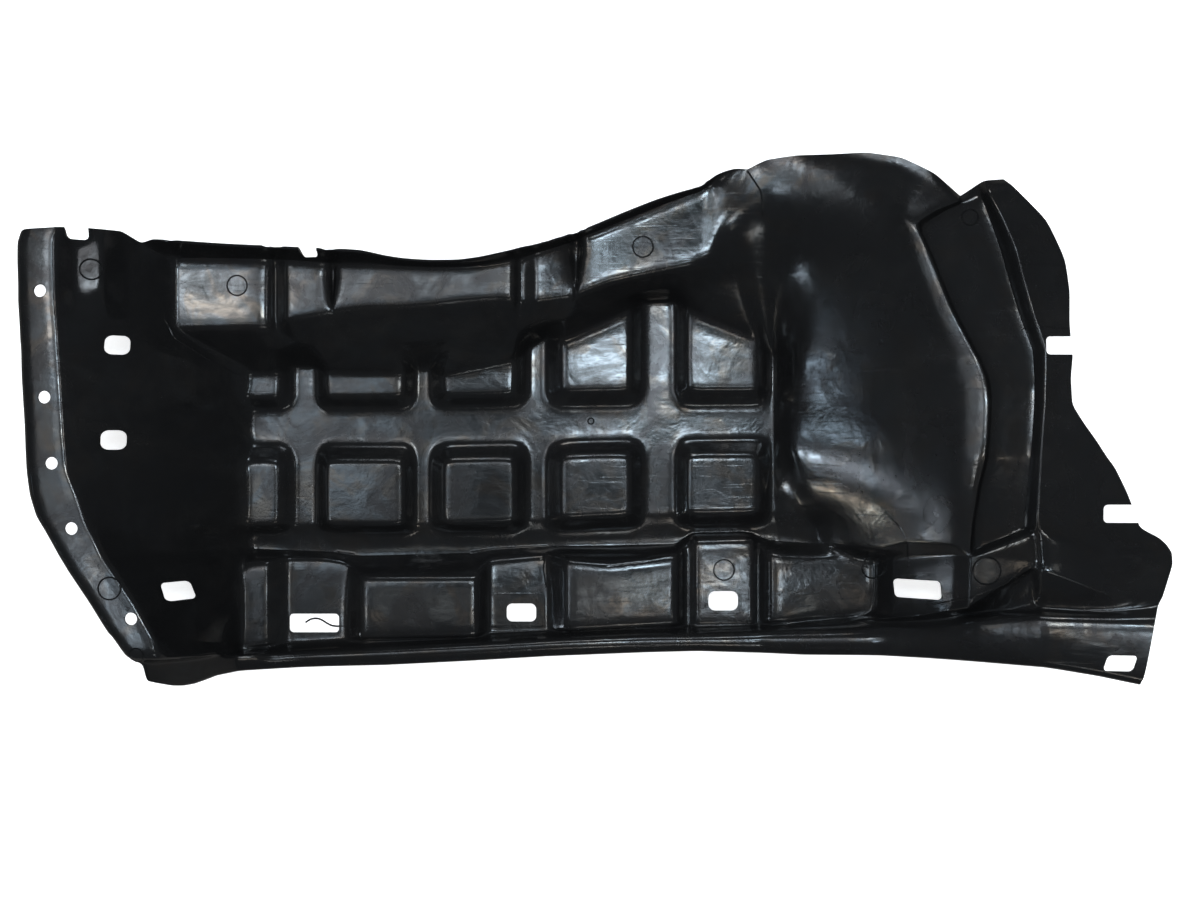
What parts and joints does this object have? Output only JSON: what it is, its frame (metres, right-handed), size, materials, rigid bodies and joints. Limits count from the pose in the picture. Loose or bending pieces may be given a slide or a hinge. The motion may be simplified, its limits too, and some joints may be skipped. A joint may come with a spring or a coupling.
{
  "type": "wheel arch liner",
  "caption": "Moulded black plastic wheel arch liner shell with a padded floor, a flanged front edge with screw holes, clip slots, an inboard lip and an outboard rail.",
  "frame": {"origin": "centre of the bounding box in plan, at the lowest face", "axes": "+X along the car from the front flange to the rear flange, +Y towards the inboard edge, +Z out of the wheel side"},
  "size_m": [0.793, 0.3777, 0.1325],
  "materials": {
    "black_plastic": "black, moulded, semi-gloss with light handling marks"
  },
  "bodies": {
    "root": {"liner": "black_plastic"}
  },
  "joints": []
}
